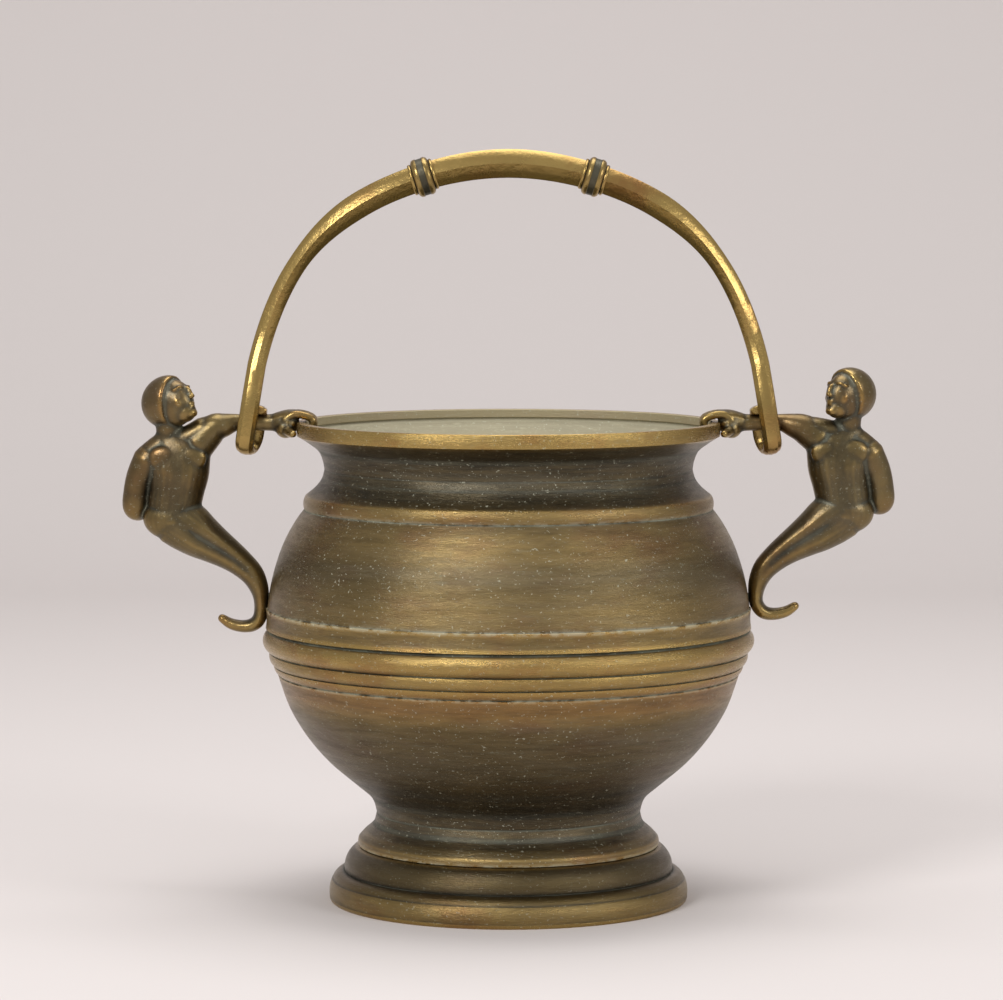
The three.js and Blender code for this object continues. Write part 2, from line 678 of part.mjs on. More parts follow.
function bail() {
  const legAngle = radians(13);
  const archSteps = 30;
  const arch = [];
  for (let step = 0; step <= archSteps; step++) {
    arch.push(archStation(lerp(Math.PI - legAngle, legAngle, step / archSteps)));
  }
  const framedArch = framed(arch, (station, along) => (
    new THREE.Vector3(-along.z, 0, along.x).normalize()
  ));
  const legFoot = framedArch.at(-1).centre;
  const legDown = new THREE.Vector3(eyeX, 0, 0).sub(legFoot).setY(0).normalize();
  const across = new THREE.Vector3(-legDown.z, 0, legDown.x);
  const rightEye = framed(eyeStations(legDown, across), () => across);
  const leftEye = [...rightEye].reverse().map((station) => ({
    ...station,
    centre: station.centre.clone().setX(-station.centre.x),
    across: across.clone().setX(-across.x),
    depthways: station.depthways.clone().setX(-station.depthways.x),
  }));
  const bar = skinned([...leftEye, ...framedArch, ...rightEye].map(bailRing));
  const knops = [-1, 1].map((side) => {
    const angle = Math.acos((side * knopOffset) / eyeX);
    const { centre } = archStation(angle);
    const near = archStation(angle - 0.02).centre.sub(archStation(angle + 0.02).centre);
    const lean = Math.atan2(near.x, near.z);
    const frame = moveTo(centre.x, centre.y, centre.z)
      .multiply(new THREE.Matrix4().makeRotationY(lean))
      .multiply(new THREE.Matrix4().makeScale(1, 0.9, 1));
    const half = knopWidth / 2;
    const edge = half + knopCollarWidth;
    const outline = [
      point(0, -edge),
      point(knopCollarRadius - 0.5, -edge),
      point(knopCollarRadius, -half - 0.3),
      ...arc(point(knopCollarRadius - 0.6, -half), point(knopRadius, -0.16 * knopWidth), 0.9, 3),
      ...arc(point(knopRadius, 0.16 * knopWidth), point(knopCollarRadius - 0.6, half), 0.9, 3),
      point(knopCollarRadius, half + 0.3),
      point(knopCollarRadius - 0.5, edge),
      point(0, edge),
    ];
    const lathe = new THREE.LatheGeometry(outline, 16).rotateX(Math.PI / 2);
    return toSolid(lathe.applyMatrix4(frame));
  });
  return join([bar, ...knops]);
}

// Assembly

const pot = new THREE.Group();

function addPiece(name, solid, material, parent = pot) {
  const mesh = new THREE.Mesh(toGeometry(solid), material);
  mesh.name = name;
  parent.add(mesh);
}

addPiece('foot_ring', footRing(), materials.foot);
addPiece('pot_body', potBody(), materials.pot);
addPiece('left_figure', figure(leftPose), materials.figure);
addPiece('right_figure', figure(rightPose), materials.figure);
addPiece('left_tail_rivet', tailRivet(-1), materials.rivet);
addPiece('right_tail_rivet', tailRivet(1), materials.rivet);

const swinging = new THREE.Group();
swinging.position.z = axisHeight;
pot.add(swinging);
addPiece('bail', bail(), materials.bail, swinging);

export default pot;
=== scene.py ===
"""Bronze pot with a swinging bail and two cast figures, as the photograph shows it.

Lengths are written in millimetres and turned into metres when a mesh is made. The frame is the CAD
part's own: +Z up, the bail's axis along X, and the viewer of the photograph on the -Y side.
"""

import math

import bpy
import numpy as np
from mathutils import Matrix, Vector


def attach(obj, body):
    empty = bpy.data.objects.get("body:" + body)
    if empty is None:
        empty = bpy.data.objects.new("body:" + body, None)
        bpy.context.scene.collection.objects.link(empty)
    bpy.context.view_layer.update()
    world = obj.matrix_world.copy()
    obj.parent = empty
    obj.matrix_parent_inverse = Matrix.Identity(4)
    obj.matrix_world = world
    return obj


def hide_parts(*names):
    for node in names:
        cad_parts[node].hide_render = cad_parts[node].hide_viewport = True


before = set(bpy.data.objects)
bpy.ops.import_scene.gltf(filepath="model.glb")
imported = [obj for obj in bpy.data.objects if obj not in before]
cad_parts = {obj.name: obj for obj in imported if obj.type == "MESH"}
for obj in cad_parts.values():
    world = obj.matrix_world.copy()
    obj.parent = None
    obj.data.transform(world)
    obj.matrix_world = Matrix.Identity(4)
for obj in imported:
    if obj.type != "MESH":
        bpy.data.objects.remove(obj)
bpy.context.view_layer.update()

# Sizes shared with the CAD part
WALL = 3.2
RIM_RADIUS = 106.0
RIM_WIDTH = 4.6
RIM_TOP = 240.7
AXIS_HEIGHT = 240.0
BAND_RADIUS = 121.0
BAND_TOP = 147.5
EYE_X = 130.0
EYE_DROP = 7.5
CAD_ARM_RADIUS = 4.15
ARM_CLEARANCE = 1.0
OVER_CLEARANCE = 0.8
BAIL_RISE = 129.0
BAR_WIDTH = 9.4
BAR_DEPTH = 6.0
STRAP_WIDTH = 8.8
STRAP_DEPTH = 4.4
LEG_BEND = 46
LEG_INSET = 1.4
LEG_ANGLE = 13
KNOP_X = 42.8
ARCH_FULLNESS = 0.026
FRONT = -(CAD_ARM_RADIUS + ARM_CLEARANCE + BAR_DEPTH / 2)

# Sizes of the looks alone, with the voxel in metres
ARM_RADIUS = 4.1
ROUND_STEPS = 224
VOXEL = 0.00055
MELT_ROUNDS = 9
RAMP_TOP = 380.0

# The photograph's width and focal length in pixels, and the camera's drop in degrees
PHOTO_WIDTH = 1003
FOCAL_PIXELS = 4200
CAMERA_DROP = 4.65

# Floor and backdrop
FLOOR_HALF = 5000
FLOOR_FRONT = -4000
FLOOR_BACK = 1500
CURVE_RADIUS = 700
BACKDROP_TOP = 4000


# Curves


def arc(start, end, bulge, count):
    """Points of a circular arc that stands out by bulge, to the right of its direction."""
    a, b = np.array(start, float), np.array(end, float)
    chord = b - a
    half = np.linalg.norm(chord) / 2
    outward = np.array([chord[1], -chord[0]]) / (2 * half)
    radius = (half * half + bulge * bulge) / (2 * abs(bulge))
    centre = (a + b) / 2 + outward * (bulge - math.copysign(radius, bulge))
    first = math.atan2(*(a - centre)[::-1])
    sweep = math.atan2(*(b - centre)[::-1]) - first
    sweep -= round(sweep / (2 * math.pi)) * 2 * math.pi
    angles = first + sweep * np.linspace(0, 1, count + 1)
    return [centre + radius * np.array([math.cos(t), math.sin(t)]) for t in angles]


def spline(points, count):
    """A smooth curve through points, as count + 1 points."""
    points = np.array(points, float)
    last = len(points) - 1
    result = []
    for place in np.linspace(0, last, count + 1):
        index = min(int(place), last - 1)
        t = place - index
        p0, p1 = points[max(index - 1, 0)], points[index]
        p2, p3 = points[index + 1], points[min(index + 2, last)]
        v0, v1 = (p2 - p0) / 2, (p3 - p1) / 2
        cubic = 2 * p1 - 2 * p2 + v0 + v1
        square = 3 * p2 - 3 * p1 - 2 * v0 - v1
        result.append(cubic * t**3 + square * t**2 + v0 * t + p1)
    return result


def between(start, end, shares, count):
    """A smooth curve from start to end through shares of the way in radius and height."""
    start, end = np.array(start, float), np.array(end, float)
    inner = [start + (end - start) * np.array(share) for share in shares]
    return spline([start, *inner, end], count)


def offset(outline, distance):
    """An open outline moved sideways, to the right of its direction."""
    outline = np.array(outline)
    along = np.gradient(outline, axis=0)
    along /= np.linalg.norm(along, axis=1)[:, None]
    return list(outline + distance * np.stack([along[:, 1], -along[:, 0]], axis=1))


def smoothstep(value, low, high):
    """0 below low, 1 above high and an even S between them."""
    share = min(max((value - low) / (high - low), 0.0), 1.0)
    return share * share * (3 - 2 * share)


# Meshes


def make(name, corners, faces, sharp=None):
    """A mesh object from corners in millimetres."""
    mesh = bpy.data.meshes.new(name)
    mesh.from_pydata((np.array(corners) / 1000).tolist(), [], faces)
    mesh.validate()
    mesh.update()
    mesh.shade_smooth()
    if sharp:
        mesh.set_sharp_from_angle(angle=math.radians(sharp))
    piece = bpy.data.objects.new(name, mesh)
    bpy.context.scene.collection.objects.link(piece)
    return piece


def lathe(name, outline, sharp=28):
    """A closed surface turned about Z from an outline that ends on the axis or meets itself."""
    outline = np.array(outline, float)
    closed = np.allclose(outline[0], outline[-1])
    if closed:
        outline = outline[:-1]
    corners = []
    rows = []
    angles = np.linspace(0, 2 * math.pi, ROUND_STEPS, endpoint=False)
    for radius, height in outline:
        if radius < 1e-6:
            rows.append([len(corners)] * ROUND_STEPS)
            corners.append((0, 0, height))
            continue
        rows.append(list(range(len(corners), len(corners) + ROUND_STEPS)))
        corners.extend((radius * math.cos(t), radius * math.sin(t), height) for t in angles)
    pairs = list(zip(rows, rows[1:] + rows[:1])) if closed else list(zip(rows, rows[1:]))
    faces = []
    for low, high in pairs:
        for side in range(ROUND_STEPS):
            after = (side + 1) % ROUND_STEPS
            face = [low[side], low[after], high[after], high[side]]
            faces.append(list(dict.fromkeys(face)))
    return make(name, corners, faces, sharp)


def skin(rings):
    """Corners and faces of a tube through rings of equal size, closed at both ends."""
    sides = len(rings[0])
    corners = np.concatenate(rings)
    faces = []
    for ring in range(len(rings) - 1):
        for side in range(sides):
            after = (side + 1) % sides
            base = ring * sides
            faces.append([base + side, base + after, base + sides + after, base + sides + side])
    faces.append(list(range(sides))[::-1])
    faces.append(list(range((len(rings) - 1) * sides, len(rings) * sides)))
    return corners, faces


class Form:
    """Overlapping closed forms that are melted into one surface."""

    def __init__(self):
        self.corners = []
        self.faces = []
        self.count = 0

    def add(self, corners, faces):
        """One more closed form."""
        self.corners.append(np.array(corners))
        self.faces.extend([index + self.count for index in face] for face in faces)
        self.count += len(corners)

    def limb(self, stations, steps=40, sides=28):
        """Oval sections along a curve. A station is place, half width, half depth and cleft."""
        places = spline([station[0] for station in stations], steps)
        sizes = spline([(*station[1:], 0, 0)[:3] for station in stations], steps)
        along = np.gradient(np.array(places), axis=0)
        along /= np.linalg.norm(along, axis=1)[:, None]
        rings = []
        angles = np.linspace(0, 2 * math.pi, sides, endpoint=False)

        def ring(index, shift, scale):
            direction = along[index]
            depthways = np.array([0, 1, 0]) - direction * direction[1]
            depthways /= np.linalg.norm(depthways)
            across = np.cross(depthways, direction)
            wide, deep, cleft = sizes[index]
            centre = places[index] + direction * shift * min(wide, deep)
            groove = 1 - cleft * np.abs(np.sin(angles)) ** 22
            rings.append(
                centre
                + np.outer(wide * scale * np.cos(angles), across)
                + np.outer(deep * scale * np.sin(angles) * groove, depthways)
            )

        for turn in (15, 35, 60):
            ring(0, -math.cos(math.radians(turn)), math.sin(math.radians(turn)))
        for index in range(len(places)):
            ring(index, 0, 1)
        for turn in (60, 35, 15):
            ring(-1, math.cos(math.radians(turn)), math.sin(math.radians(turn)))
        self.add(*skin(rings))

    def ball(self, halves, matrix, cut=None):
        """An ellipsoid placed by a matrix. cut(direction) gives the scale in that direction."""
        rows, sides = (48, 72) if cut else (18, 28)
        corners = [(0, 0, -1)]
        for row in range(1, rows):
            t = -math.pi / 2 + math.pi * row / rows
            for side in range(sides):
                turn = 2 * math.pi * side / sides
                corners.append(
                    (math.cos(t) * math.cos(turn), math.cos(t) * math.sin(turn), math.sin(t))
                )
        corners.append((0, 0, 1))
        faces = []
        top = len(corners) - 1
        for side in range(sides):
            after = (side + 1) % sides
            faces.append([0, 1 + after, 1 + side])
            last = 1 + (rows - 2) * sides
            faces.append([top, last + side, last + after])
            for row in range(rows - 2):
                base = 1 + row * sides
                faces.append(
                    [base + side, base + after, base + sides + after, base + sides + side]
                )
        placed = []
        for corner in corners:
            scale = cut(corner) if cut else 1
            placed.append(matrix @ Vector([c * h * scale for c, h in zip(corner, halves)]))
        self.add([tuple(v) for v in placed], faces)

    def melt(self, name, mirrored, rounds):
        """The whole form as one smooth closed surface, mirrored to the -X side if asked."""
        corners = np.concatenate(self.corners)
        faces = self.faces
        if mirrored:
            corners = corners * [-1, 1, 1]
            faces = [face[::-1] for face in faces]
        piece = make(name, corners, faces)
        remesh = piece.modifiers.new("melt", "REMESH")
        remesh.mode = "VOXEL"
        remesh.voxel_size = VOXEL
        smooth = piece.modifiers.new("smooth", "SMOOTH")
        smooth.iterations = rounds
        smooth.factor = 0.5
        depsgraph = bpy.context.evaluated_depsgraph_get()
        mesh = bpy.data.meshes.new_from_object(piece.evaluated_get(depsgraph))
        piece.modifiers.clear()
        piece.data = mesh
        mesh.shade_smooth()
        return piece


def mark_relief(piece, rounds, depth):
    """Stores how far a corner stands proud, above 0.5, or lies in a hollow, below 0.5.

    The corner is compared with its own place after so many rounds of smoothing, and depth in metres
    is the distance that gives a full mark.
    """
    mesh = piece.data
    count = len(mesh.vertices)
    places = np.empty(count * 3)
    mesh.vertices.foreach_get("co", places)
    places = places.reshape(-1, 3)
    normals = np.empty(count * 3)
    mesh.vertices.foreach_get("normal", normals)
    normals = normals.reshape(-1, 3)
    edges = np.empty(len(mesh.edges) * 2, dtype=np.int32)
    mesh.edges.foreach_get("vertices", edges)
    a, b = edges.reshape(-1, 2).T
    degree = np.bincount(np.concatenate([a, b]), minlength=count).astype(float)
    soft = places.copy()
    for _ in range(rounds):
        total = np.zeros_like(soft)
        for axis in range(3):
            total[:, axis] += np.bincount(a, soft[b, axis], count)
            total[:, axis] += np.bincount(b, soft[a, axis], count)
        soft = total / degree[:, None]
    proud = ((places - soft) * normals).sum(axis=1) / depth
    layer = mesh.attributes.new("relief", "FLOAT", "POINT")
    layer.data.foreach_set("value", np.clip(0.5 + proud / 2, 0, 1))


# Materials


class Nodes:
    """A small helper that adds shader nodes and links them."""

    def __init__(self, name):
        self.material = bpy.data.materials.new(name)
        self.material.use_nodes = True
        self.tree = self.material.node_tree
        self.tree.nodes.clear()
        self.out = self.tree.nodes.new("ShaderNodeOutputMaterial")
        self.place = self.tree.nodes.new("ShaderNodeTexCoord").outputs["Object"]

    def put(self, socket, value):
        """Links another node's output to a socket, or sets the socket to a plain value."""
        if isinstance(value, bpy.types.NodeSocket):
            self.tree.links.new(value, socket)
        else:
            socket.default_value = value

    def noise(self, scale, stretch=(1, 1, 1), detail=6, rough=0.6):
        """Noise in the piece's own space, with a scale per metre for each axis."""
        mapping = self.tree.nodes.new("ShaderNodeMapping")
        mapping.inputs["Scale"].default_value = stretch
        self.put(mapping.inputs["Vector"], self.place)
        node = self.tree.nodes.new("ShaderNodeTexNoise")
        node.inputs["Scale"].default_value = scale
        node.inputs["Detail"].default_value = detail
        node.inputs["Roughness"].default_value = rough
        self.put(node.inputs["Vector"], mapping.outputs["Vector"])
        return node.outputs["Fac"]

    def span(self, value, low, high, out_low=0.0, out_high=1.0):
        """A value carried from the range low to high over to the range out_low to out_high."""
        node = self.tree.nodes.new("ShaderNodeMapRange")
        self.put(node.inputs["Value"], value)
        node.inputs["From Min"].default_value = low
        node.inputs["From Max"].default_value = high
        node.inputs["To Min"].default_value = out_low
        node.inputs["To Max"].default_value = out_high
        return node.outputs["Result"]

    def math(self, operation, a, b):
        """An operation on two values, kept between 0 and 1."""
        node = self.tree.nodes.new("ShaderNodeMath")
        node.operation = operation
        node.use_clamp = True
        self.put(node.inputs[0], a)
        self.put(node.inputs[1], b)
        return node.outputs[0]

    def plus(self, a, b):
        return self.math("ADD", a, b)

    def minus(self, a, b):
        return self.math("SUBTRACT", a, b)

    def times(self, a, b):
        return self.math("MULTIPLY", a, b)

    def mix(self, share, a, b):
        """Colour a where share is 0, and colour b where it is 1."""
        node = self.tree.nodes.new("ShaderNodeMix")
        node.data_type = "RGBA"
        self.put(node.inputs["Factor"], share)
        self.put(node.inputs["A"], (*a, 1) if isinstance(a, tuple) else a)
        self.put(node.inputs["B"], (*b, 1) if isinstance(b, tuple) else b)
        return node.outputs["Result"]

    def height(self, stops):
        """A value that follows the height over the base, from pairs of millimetres and value.

        Anything that isn't a list of such pairs is given back as it is.
        """
        if not isinstance(stops, list):
            return stops
        split = self.tree.nodes.new("ShaderNodeSeparateXYZ")
        self.put(split.inputs[0], self.place)
        ramp = self.tree.nodes.new("ShaderNodeValToRGB")
        self.put(ramp.inputs["Fac"], self.span(split.outputs["Z"], 0, RAMP_TOP / 1000))
        elements = ramp.color_ramp.elements
        while len(elements) < len(stops):
            elements.new(0.5)
        for element, (height, value) in zip(elements, stops):
            element.position = height / RAMP_TOP
            element.color = (value, value, value, 1)
        return ramp.outputs["Color"]

    def relief(self):
        """The marks that mark_relief stored."""
        node = self.tree.nodes.new("ShaderNodeAttribute")
        node.attribute_name = "relief"
        return node.outputs["Fac"]

    def finish(self, colour, metallic, roughness, bump, distance):
        """Links the surface, with bumps of a distance in metres, and gives the material."""
        shader = self.tree.nodes.new("ShaderNodeBsdfPrincipled")
        self.put(shader.inputs["Base Color"], colour)
        self.put(shader.inputs["Metallic"], metallic)
        self.put(shader.inputs["Roughness"], roughness)
        node = self.tree.nodes.new("ShaderNodeBump")
        node.inputs["Strength"].default_value = 0.6
        node.inputs["Distance"].default_value = distance
        self.put(node.inputs["Height"], bump)
        self.put(shader.inputs["Normal"], node.outputs["Normal"])
        self.tree.links.new(shader.outputs[0], self.out.inputs["Surface"])
        return self.material


# Colours of the bronze
DARK = (0.042, 0.037, 0.027)
OLIVE = (0.1, 0.083, 0.052)
GOLD = (0.38, 0.265, 0.09)
COPPER = (0.3, 0.16, 0.055)
HAZE = (0.125, 0.118, 0.095)
VERDIGRIS = (0.2, 0.22, 0.16)
PALE = (0.5, 0.5, 0.38)
LIME = (0.45, 0.41, 0.28)
# Near black that darkens the metal: an even darker tone, and painted shade on the foot
TONE_AND_SHADE_DARK = (0.012, 0.01, 0.007)


def bronze(
    name, shine, copper, streaks, green=0.5, veil=0.0, lines=0.0, crust_colour=VERDIGRIS, shade=1.0
):
    """Patinated bronze. shine, copper, lines and shade are values or height stops.

    shine is how far the metal is worn bright, and copper how red it is there. With streaks the
    marks run round Z. green is the amount of crust, veil lays the crust over all of it, lines are
    pale traces of it, and shade below 1 darkens the metal: as one value it gives an even darker
    tone, and as height stops it is painted shade.
    """
    nodes = Nodes(name)
    stretch = (1, 1, 9) if streaks else (1, 1, 1)
    cloud = nodes.noise(26, (1, 1, 2) if streaks else (1, 1, 1))
    streak = nodes.noise(40, stretch, 8, 0.7)
    fine = nodes.noise(260, stretch, 4, 0.7)
    relief = nodes.relief()
    proud = nodes.span(relief, 0.53, 0.85)
    hollow = nodes.span(relief, 0.47, 0.3)

    # Brown patina with a grey haze
    base = nodes.mix(nodes.span(streak, 0.36, 0.68), DARK, OLIVE)
    haze = nodes.span(nodes.noise(14, stretch, 8, 0.7), 0.45, 0.68)
    base = nodes.mix(nodes.times(haze, 0.5), base, HAZE)

    # Bright metal where it is worn, most of all on what stands proud
    worn = nodes.mix(nodes.span(cloud, 0.3, 0.5), COPPER, GOLD)
    worn = nodes.mix(nodes.times(nodes.height(copper), 0.9), worn, COPPER)
    wear = nodes.times(nodes.height(shine), nodes.span(streak, 0.3, 0.58, 0.45, 1.0))
    wear = nodes.plus(wear, nodes.times(proud, 0.75))
    wear = nodes.minus(wear, nodes.times(hollow, 0.7))
    colour = nodes.mix(wear, base, worn)

    # Green crust in hollows, in patches and as specks, less where the metal is worn
    patches = nodes.span(nodes.noise(60, stretch, 8, 0.8), 0.56, 0.7)
    specks = nodes.span(nodes.noise(330, (1, 1, 1.6), 3, 0.7), 0.63, 0.7)
    crust = nodes.times(hollow, nodes.span(cloud, 0.4, 0.6, 0.2, 2.4 * green))
    crust = nodes.plus(crust, nodes.times(patches, green))
    crust = nodes.plus(crust, nodes.times(specks, green))
    crust = nodes.times(crust, nodes.minus(1.0, nodes.times(wear, 0.6)))
    crust = nodes.plus(crust, veil)
    colour = nodes.mix(nodes.times(crust, 0.75), colour, crust_colour)

    # Pale dots, scratches and broken lines
    dots = nodes.span(nodes.noise(620, (1, 1, 1.3), 2, 0.6), 0.665, 0.69)
    scratches = nodes.span(nodes.noise(105, (1, 1, 13), 5, 0.75), 0.655, 0.69)
    marks = nodes.times(nodes.plus(dots, scratches), 1.6 * green)
    broken = nodes.span(nodes.noise(150, (1, 1, 2), 4, 0.7), 0.42, 0.56)
    marks = nodes.plus(marks, nodes.times(nodes.height(lines), broken))
    colour = nodes.mix(nodes.times(marks, 0.8), colour, PALE)
    # Darkening towards near black: an even darker tone as one value, painted shade as height stops
    colour = nodes.mix(nodes.height(shade), TONE_AND_SHADE_DARK, colour)

    crust = nodes.plus(crust, marks)
    metallic = nodes.minus(0.93, nodes.times(crust, 0.85))
    roughness = nodes.minus(nodes.span(streak, 0.3, 0.7, 0.44, 0.33), nodes.times(wear, 0.12))
    roughness = nodes.plus(roughness, nodes.times(crust, 0.4))
    return nodes.finish(colour, metallic, roughness, fine, 0.0004)


# Height stops: millimetres over the base and the value there
pot_shine = [
    (28, 0.1), (33, 0.2), (44, 0.1), (60, 0.05), (99, 0.06), (107, 0.55), (112, 0.5), (118, 0.5),
    (124, 0.5), (130, 0.7), (138, 0.45), (146, 0.5), (149, 0.3), (158, 0.25), (168, 0.08),
    (176, 0.05), (186, 0.35), (196, 0.3), (202, 0.35), (208, 0.06), (226, 0.05), (232.6, 0.2),
    (233.6, 0.75), (240.7, 0.85),
]
pot_copper = [(28, 0.2), (100, 0.2), (109, 0.95), (115, 0.7), (120, 0.15), (190, 0.25), (235, 0.1)]
foot_shine = [(0, 0.5), (9, 0.4), (12, 0.08), (16, 0.0), (20, 0.06), (24, 0.04), (28, 0.0)]
# Painted shade on the foot, darkest on its upper mouldings under the bowl
foot_shade = [(0, 0.9), (9, 0.85), (12, 0.6), (16, 0.55), (20, 0.55), (28, 0.6)]
pot_lines = [
    (28, 0.9), (28.9, 0), (113.4, 0), (113.8, 0.6), (114.6, 0.6), (115, 0), (146.6, 0),
    (147.1, 0.95), (148.0, 0.95), (148.5, 0), (196.4, 0), (196.8, 0.5), (197.3, 0.5), (197.8, 0),
]

inner_metal = bronze("inner bronze", 0.1, 0.1, True, green=0.8, veil=0.8, crust_colour=LIME)
pot_metal = bronze("pot bronze", pot_shine, pot_copper, True, green=0.4, lines=pot_lines)
foot_metal = bronze("foot bronze", foot_shine, 0.15, True, green=0.3, shade=foot_shade)
figure_metal = bronze("figure bronze", 0.16, 0.1, False, green=0.2, shade=0.9)
bail_metal = bronze("bail bronze", 0.5, 0.1, False, green=0.02)
rivet_metal = bronze("rivet bronze", 0.2, 0.2, False, green=0.4)


def place(piece, metal, body, slot, *nodes):
    """Gives a piece its metal, the body that it moves with and the CAD nodes it stands for."""
    piece.data.materials.clear()
    piece.data.materials.append(metal)
    if nodes:
        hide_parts(*nodes)
    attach(piece, body)


# Pot and foot

bowl = between(
    (66.2, 44.5), (115.5, 114),
    [(0.057, 0.111), (0.229, 0.22), (0.469, 0.365), (0.657, 0.512), (0.799, 0.658), (0.905, 0.803)],
    64,
)
shoulder = between(
    (120.7, BAND_TOP), (102.1, 197), [(0.07, 0.19), (0.2, 0.4), (0.44, 0.655), (0.74, 0.865)], 46
)
lower_neck = between((101.8, 203.5), (92, 216.8), [(0.347, 0.2), (0.612, 0.385), (0.87, 0.66)], 18)
upper_neck = between((92, 216.8), (104.8, 233.3), [(0.06, 0.26), (0.23, 0.565), (0.6, 0.8)], 22)

# Outer face from the green line over the foot up to the rim, with its grooves and bands
outside = [
    *arc((75.4, 28), (75.4, 31.3), 0.3, 5),
    *between((75.4, 31.4), (66.2, 44.5), [(0.3, 0.23), (0.62, 0.42), (0.86, 0.62)], 18)[1:],
    *bowl[1:],
    (115.0, 114.5),
    *arc((115.7, 114.9), (117.7, 118.7), 0.4, 5),
    (117.2, 119.1),
    *arc((117.9, 119.4), (119.8, 125.2), 0.9, 8),
    (119.3, 125.7),
    *arc((120.0, 126), (120.6, 136.3), 2.8, 16),
    (120.0, 136.9),
    *arc((121.6, 137.6), (121.4, 147.0), -0.4, 8),
    *shoulder,
    *arc((102.3, 197.4), (101.7, 203.4), 0.6, 8),
    *lower_neck[1:],
    *upper_neck[1:],
    *arc((105.6, 233.7), (105.5, 240.3), 0.3, 6),
    *arc((105.4, 240.4), (104.8, 240.65), 0.1, 2),
]
# Inner face from the floor up to the rim, one wall inside the outer curves
inside = [
    (0, 50), (20, 50.2), (41, 51.4), (54, 53.4), (62, 57),
    *offset(bowl, -WALL)[22:],
    (BAND_RADIUS - WALL, 126),
    (BAND_RADIUS - WALL, 138),
    *offset(shoulder, -WALL)[2:34],
    *offset(lower_neck, -WALL),
    *offset(upper_neck, -WALL)[1:-1],
    (RIM_RADIUS - RIM_WIDTH, 236.6),
    (RIM_RADIUS - RIM_WIDTH, RIM_TOP - 0.5),
    (RIM_RADIUS - RIM_WIDTH + 0.4, RIM_TOP - 0.1),
]
# Floor from below and the spigot that stands in the foot ring
underside = [(0, 44), (58, 44), (62, 40), (65.2, 30), (65.2, 22.1), (69.7, 22.1), (69.7, 28)]
pot = lathe("pot", [*underside, *outside, *inside[::-1]])
mark_relief(pot, 3, 0.00035)
place(pot, pot_metal, "pot", "pot", "pot_body")
pot.data.materials.append(inner_metal)
first_inside = (len(underside) + len(outside)) * ROUND_STEPS
for face in pot.data.polygons[first_inside:]:
    face.material_index = 1

# The ring's section, with a bore for the spigot and a hollow below it
foot_outline = [
    (80.4, 0),
    *arc((89.3, 0), (90, 2), 0.3, 3),
    *arc((90, 2.2), (88.9, 10.4), 0.6, 8),
    *arc((88.6, 10.7), (82.4, 15.1), 1.3, 8),
    *arc((82.5, 15.4), (75.6, 27.6), 2.2, 16),
    (70, 27.6), (70, 18), (80.3, 7.5), (80.4, 0),
]
foot = lathe("foot", foot_outline)
mark_relief(foot, 3, 0.00035)
place(foot, foot_metal, "pot", "foot", "foot_ring")

# Bail


def leg_back(height):
    """Y of the bail's leg, which bends forward to pass in front of the arm."""
    return FRONT * (1 - smoothstep(height, EYE_DROP, LEG_BEND))


def arch_station(angle):
    """Centre, half width, half depth and roundness of the bar at an angle of the arch."""
    spread = 1 + ARCH_FULLNESS * math.sin(2 * angle) ** 4
    height = BAIL_RISE * math.sin(angle) * spread
    across = (EYE_X - LEG_INSET) * math.cos(angle) * spread
    centre = np.array([across, leg_back(height), height])
    from_leg = math.degrees(min(angle, math.pi - angle))
    wide = BAR_WIDTH + 3.6 * smoothstep(from_leg, 36, 56) + 1.3 * smoothstep(from_leg, 56, 90)
    deep = 7 + 4.5 * smoothstep(from_leg, 20, 70)
    return centre, wide / 2, deep / 2, 1 - smoothstep(from_leg, 14, 34)


def eye_stations(down_leg, across):
    """The eye at +X, down in front of the arm, under it, up behind it and forward over it."""
    inner = CAD_ARM_RADIUS + ARM_CLEARANCE
    behind = inner + STRAP_DEPTH / 2
    turn = (behind - FRONT) / 2
    turn_down = CAD_ARM_RADIUS + EYE_DROP + STRAP_DEPTH / 2 - turn
    over = -(CAD_ARM_RADIUS + OVER_CLEARANCE + STRAP_DEPTH / 2)
    corner = 4.6
    tip = FRONT + BAR_DEPTH / 2 + 0.6
    path = [(leg_back(height), -height) for height in (24, 20, 16, 12, EYE_DROP, 4, 0)]
    path.append((FRONT, turn_down))
    for step in range(1, 17):
        angle = math.pi * step / 16
        path.append(
            ((FRONT + behind) / 2 - turn * math.cos(angle), turn_down + turn * math.sin(angle))
        )
    path.append((behind, (turn_down + over) / 2))
    for step in range(9):
        angle = math.pi / 2 * step / 8
        back = behind - corner * (1 - math.cos(angle))
        path.append((back, over + corner * (1 - math.sin(angle))))
    path.append(((behind - corner + tip) / 2, over))
    path.append((tip + 0.5, over))
    path.append((tip, over))
    stations = []
    for index, (back, down) in enumerate(path):
        share = index / (len(path) - 1)
        slim = smoothstep(share, 0.2, 0.5)
        centre = np.array([EYE_X, 0, 0]) + down_leg * down + np.array([0, 1, 0]) * back
        centre = centre - across * 4 * smoothstep(share, 0.25, 0.65)
        end = 0.8 if index == len(path) - 1 else 1
        wide = (BAR_WIDTH + (STRAP_WIDTH - BAR_WIDTH) * slim) / 2 * end
        deep = (BAR_DEPTH + (STRAP_DEPTH - BAR_DEPTH) * slim) / 2 * end
        stations.append((centre, wide, deep, 1.0))
    return stations


def bail_ring(station, across, depthways):
    """Fourteen points with a ridge in front and behind, drawn to an oval by the roundness."""
    centre, wide, deep, rounding = station
    flats = [(1, 0.2), (0.86, 0.42), (0.45, 0.72), (0, 1), (-0.45, 0.72), (-0.86, 0.42), (-1, 0.2)]
    ridges = flats + [(-a, -b) for a, b in flats]
    ring = []
    for ridge_across, ridge_deep in ridges:
        angle = math.atan2(ridge_deep, ridge_across)
        a = ridge_across + (math.cos(angle) - ridge_across) * rounding
        b = ridge_deep + (math.sin(angle) - ridge_deep) * rounding
        ring.append(centre + across * wide * a + depthways * deep * b)
    return np.array(ring)


